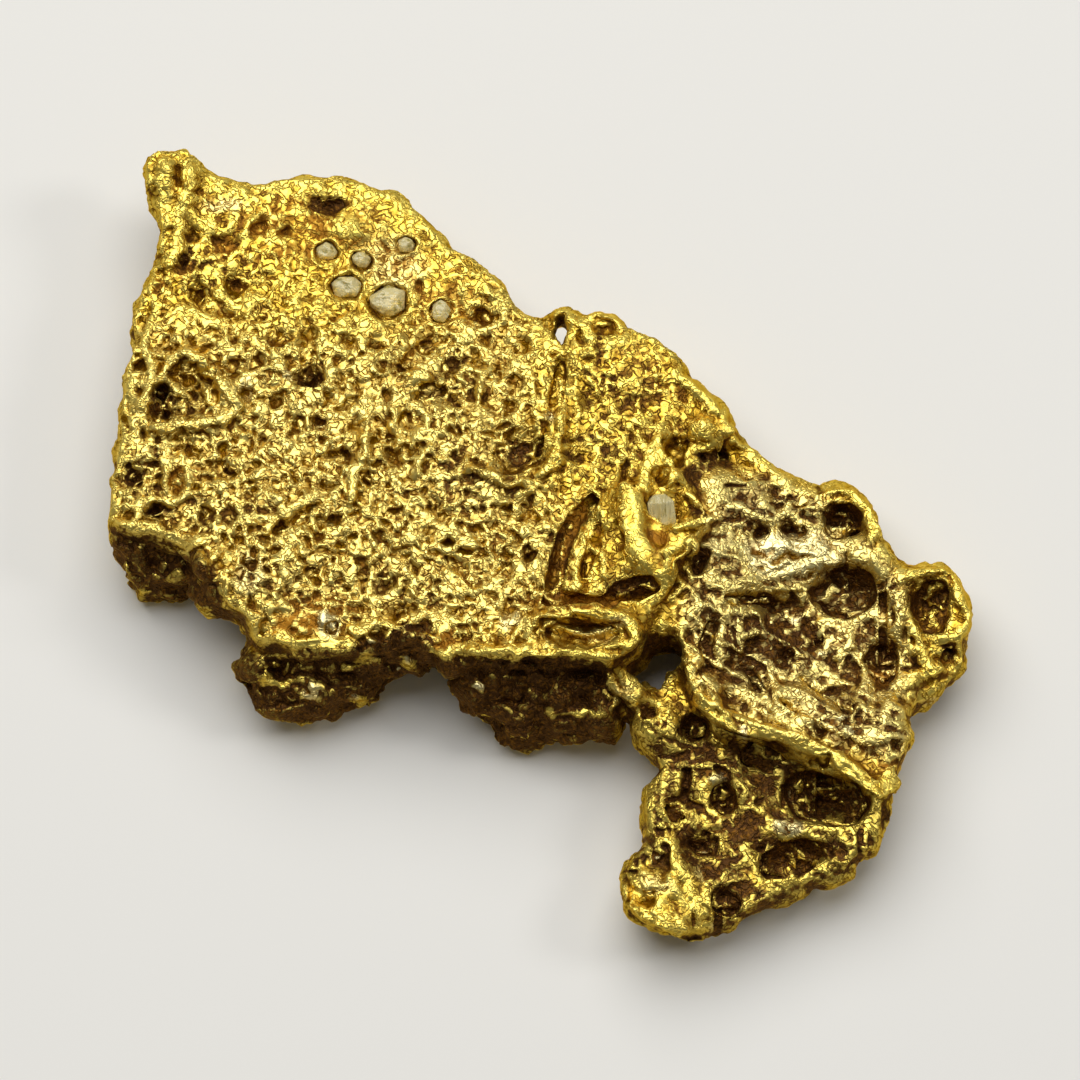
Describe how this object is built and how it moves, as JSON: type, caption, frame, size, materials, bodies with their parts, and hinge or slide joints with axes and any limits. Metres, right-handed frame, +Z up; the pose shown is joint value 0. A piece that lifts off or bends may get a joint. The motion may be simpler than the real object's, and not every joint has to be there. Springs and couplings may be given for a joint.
{
  "type": "gold nugget",
  "caption": "Flat, spongy natural gold nugget with a pitted sheet, a folded tail, dark lumps under its edge and clear quartz set in its pits.",
  "frame": {"origin": "on the floor, under the middle of the nugget's box", "axes": "+Z up through the flat nugget's thickness, +X from the pitted sheet towards the lobe, +Y away from the tail"},
  "size_m": [0.0346, 0.0332, 0.0061],
  "materials": {
    "natural_gold": "natural gold, bright on its ridges, with brown iron stain in its hollows",
    "quartz": "glassy, slightly cloudy"
  },
  "bodies": {
    "root": {"gold_nugget": "natural_gold", "quartz_crystal": "quartz", "quartz_grain_1": "quartz", "quartz_grain_2": "quartz", "quartz_grain_3": "quartz", "quartz_grain_4": "quartz", "quartz_grain_5": "quartz", "quartz_grain_6": "quartz"}
  },
  "joints": []
}
